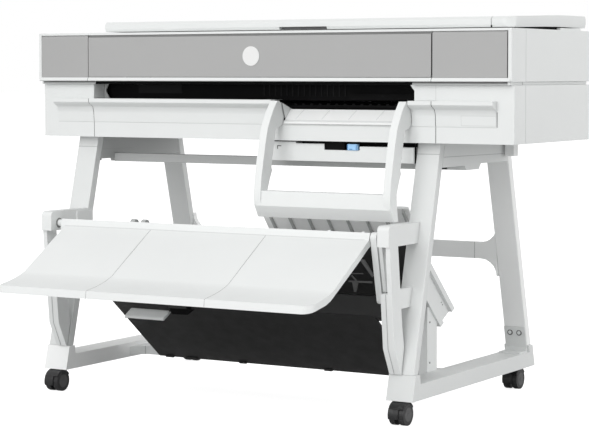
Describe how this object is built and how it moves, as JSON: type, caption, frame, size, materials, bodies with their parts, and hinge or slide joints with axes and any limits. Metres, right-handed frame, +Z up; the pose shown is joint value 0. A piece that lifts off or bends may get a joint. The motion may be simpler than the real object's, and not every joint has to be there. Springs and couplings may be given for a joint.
{
  "type": "large format plotter",
  "caption": "Wide inkjet plotter with a sheet-fed scanner on top, on a splayed stand on casters with a fold-down output tray and a slide.",
  "frame": {"origin": "on the floor under the middle of the plotter's bounding box", "axes": "+X to the plotter's right as seen from its front, +Y from its front to its back, +Z up"},
  "size_m": [1.39, 1.0215, 0.9795],
  "materials": {
    "white_cover": "fine-textured satin white",
    "grey_panel": "satin mid grey",
    "stand_paint": "light grey powder coat",
    "tray_plastic": "satin off-white",
    "black_panel": "satin black",
    "inner_black": "matt black",
    "latch_blue": "satin light blue",
    "steel": "zinc plated",
    "roller_rubber": "matt black",
    "caster_black": "satin black"
  },
  "bodies": {
    "stand_and_body": {"bin_panel": "black_panel", "bottom_pan": "steel", "carriage_rail": "inner_black", "chute": "tray_plastic", "chute_end_left": "tray_plastic", "chute_end_right": "tray_plastic", "control_panel": "grey_panel", "cross_beam_low": "stand_paint", "cross_beam_rear": "stand_paint", "cross_beam_top": "stand_paint", "electronics_box": "steel", "foot_left": "stand_paint", "foot_right": "stand_paint", "front_cover": "white_cover", "front_end_left": "white_cover", "front_end_right": "white_cover", "ink_cartridges": "inner_black", "latch_carrier": "tray_plastic", "leg_front_left": "stand_paint", "leg_front_right": "stand_paint", "leg_rear_left": "stand_paint", "leg_rear_right": "stand_paint", "lid_cap": "white_cover", "mid_deck": "inner_black", "panel_left": "grey_panel", "platen": "inner_black", "power_inlet": "white_cover", "scan_bar": "inner_black", "scanner_housing": "white_cover", "service_station": "inner_black", "side_cover_lower_left": "white_cover", "side_cover_lower_right": "white_cover", "side_cover_upper_left": "white_cover", "side_cover_upper_right": "white_cover", "top_rail_left": "stand_paint", "top_rail_right": "stand_paint", "top_rear_cover": "white_cover", "tray_bracket_left": "tray_plastic", "tray_bracket_right": "tray_plastic"},
    "scan_door_body": {"scan_door": "grey_panel"},
    "scanner_lid_body": {"scanner_lid": "white_cover"},
    "roll_door_body": {"roll_door": "white_cover"},
    "arm_frame_body": {"arm_frame": "tray_plastic"},
    "latch_body": {"latch": "latch_blue"},
    "tray_body": {"tray": "tray_plastic"},
    "tray_link_body": {"tray_link": "tray_plastic"},
    "paddle_body": {"paddle": "tray_plastic"},
    "carriage_body": {"carriage": "inner_black"},
    "drive_roller_body": {"drive_roller": "roller_rubber"},
    "pinch_rollers_body": {"pinch_rollers": "roller_rubber"},
    "scan_roller_body": {"scan_roller": "roller_rubber"},
    "roll_spindle_body": {"roll_spindle": "inner_black"},
    "caster_front_left": {"caster_fork_front_left": "caster_black"},
    "wheel_front_left": {"caster_wheel_front_left": "caster_black"},
    "caster_front_right": {"caster_fork_front_right": "caster_black"},
    "wheel_front_right": {"caster_wheel_front_right": "caster_black"},
    "caster_rear_left": {"caster_fork_rear_left": "caster_black"},
    "wheel_rear_left": {"caster_wheel_rear_left": "caster_black"},
    "caster_rear_right": {"caster_fork_rear_right": "caster_black"},
    "wheel_rear_right": {"caster_wheel_rear_right": "caster_black"}
  },
  "joints": [
    {"name": "scan_door_hinge", "type": "hinge", "parent": "stand_and_body", "child": "scan_door_body", "pos_m": [0, -0.0938, 0.828], "axis": [1, 0, 0], "range_deg": [0, 90]},
    {"name": "scanner_lid_hinge", "type": "hinge", "parent": "stand_and_body", "child": "scanner_lid_body", "pos_m": [0, 0.3565, 0.9585], "axis": [-1, 0, 0], "range_deg": [0, 75]},
    {"name": "roll_door_hinge", "type": "hinge", "parent": "stand_and_body", "child": "roll_door_body", "pos_m": [0, 0.3785, 0.6765], "axis": [-1, 0, 0], "range_deg": [0, 85]},
    {"name": "arm_frame_hinge", "type": "hinge", "parent": "stand_and_body", "child": "arm_frame_body", "pos_m": [0.233, -0.0975, 0.7605], "axis": [-1, 0, 0], "range_deg": [0, 50]},
    {"name": "latch_slide", "type": "slide", "parent": "stand_and_body", "child": "latch_body", "axis": [-1, 0, 0], "range_m": [0, 0.008], "stiffness_N_per_m": 200, "springref_m": -0.002},
    {"name": "tray_hinge", "type": "hinge", "parent": "stand_and_body", "child": "tray_body", "pos_m": [-0.055, -0.2195, 0.4465], "axis": [1, 0, 0], "range_deg": [0, 58]},
    {"name": "tray_link_swing", "type": "hinge", "parent": "stand_and_body", "child": "tray_link_body", "pos_m": [0.401, -0.2195, 0.4465], "axis": [1, 0, 0], "range_deg": [-12, 8]},
    {"name": "paddle_hinge", "type": "hinge", "parent": "stand_and_body", "child": "paddle_body", "pos_m": [-0.334, -0.0935, 0.2155], "axis": [-1, 0, 0], "range_deg": [0, 25], "stiffness_Nm_per_rad": 0.2, "springref_deg": -11.46},
    {"name": "carriage_slide", "type": "slide", "parent": "stand_and_body", "child": "carriage_body", "axis": [-1, 0, 0], "range_m": [0, 1.01]},
    {"name": "drive_roller_spin", "type": "hinge", "parent": "stand_and_body", "child": "drive_roller_body", "pos_m": [0, 0.0905, 0.7505], "axis": [1, 0, 0], "continuous": true},
    {"name": "pinch_rollers_spin", "type": "hinge", "parent": "stand_and_body", "child": "pinch_rollers_body", "pos_m": [0, 0.0905, 0.775], "axis": [1, 0, 0], "continuous": true},
    {"name": "scan_roller_spin", "type": "hinge", "parent": "stand_and_body", "child": "scan_roller_body", "pos_m": [0, 0.0945, 0.9175], "axis": [1, 0, 0], "continuous": true},
    {"name": "roll_spindle_spin", "type": "hinge", "parent": "stand_and_body", "child": "roll_spindle_body", "pos_m": [0, 0.2965, 0.7315], "axis": [1, 0, 0], "continuous": true},
    {"name": "swivel_front_left", "type": "hinge", "parent": "stand_and_body", "child": "caster_front_left", "pos_m": [-0.567, -0.1655, 0.0575], "axis": [0, 0, 1], "continuous": true},
    {"name": "roll_front_left", "type": "hinge", "parent": "caster_front_left", "child": "wheel_front_left", "pos_m": [-0.567, -0.1905, 0.0265], "axis": [1, 0, 0], "continuous": true},
    {"name": "swivel_front_right", "type": "hinge", "parent": "stand_and_body", "child": "caster_front_right", "pos_m": [0.455, -0.1655, 0.0575], "axis": [0, 0, 1], "continuous": true},
    {"name": "roll_front_right", "type": "hinge", "parent": "caster_front_right", "child": "wheel_front_right", "pos_m": [0.455, -0.1905, 0.0265], "axis": [1, 0, 0], "continuous": true},
    {"name": "swivel_rear_left", "type": "hinge", "parent": "stand_and_body", "child": "caster_rear_left", "pos_m": [-0.567, 0.4295, 0.0575], "axis": [0, 0, 1], "continuous": true},
    {"name": "roll_rear_left", "type": "hinge", "parent": "caster_rear_left", "child": "wheel_rear_left", "pos_m": [-0.567, 0.4545, 0.0265], "axis": [1, 0, 0], "continuous": true},
    {"name": "swivel_rear_right", "type": "hinge", "parent": "stand_and_body", "child": "caster_rear_right", "pos_m": [0.455, 0.4295, 0.0575], "axis": [0, 0, 1], "continuous": true},
    {"name": "roll_rear_right", "type": "hinge", "parent": "caster_rear_right", "child": "wheel_rear_right", "pos_m": [0.455, 0.4545, 0.0265], "axis": [1, 0, 0], "continuous": true}
  ],
  "couplings": [
    {"joint": "pinch_rollers_spin", "follows": "drive_roller_spin", "ratio": -1}
  ]
}
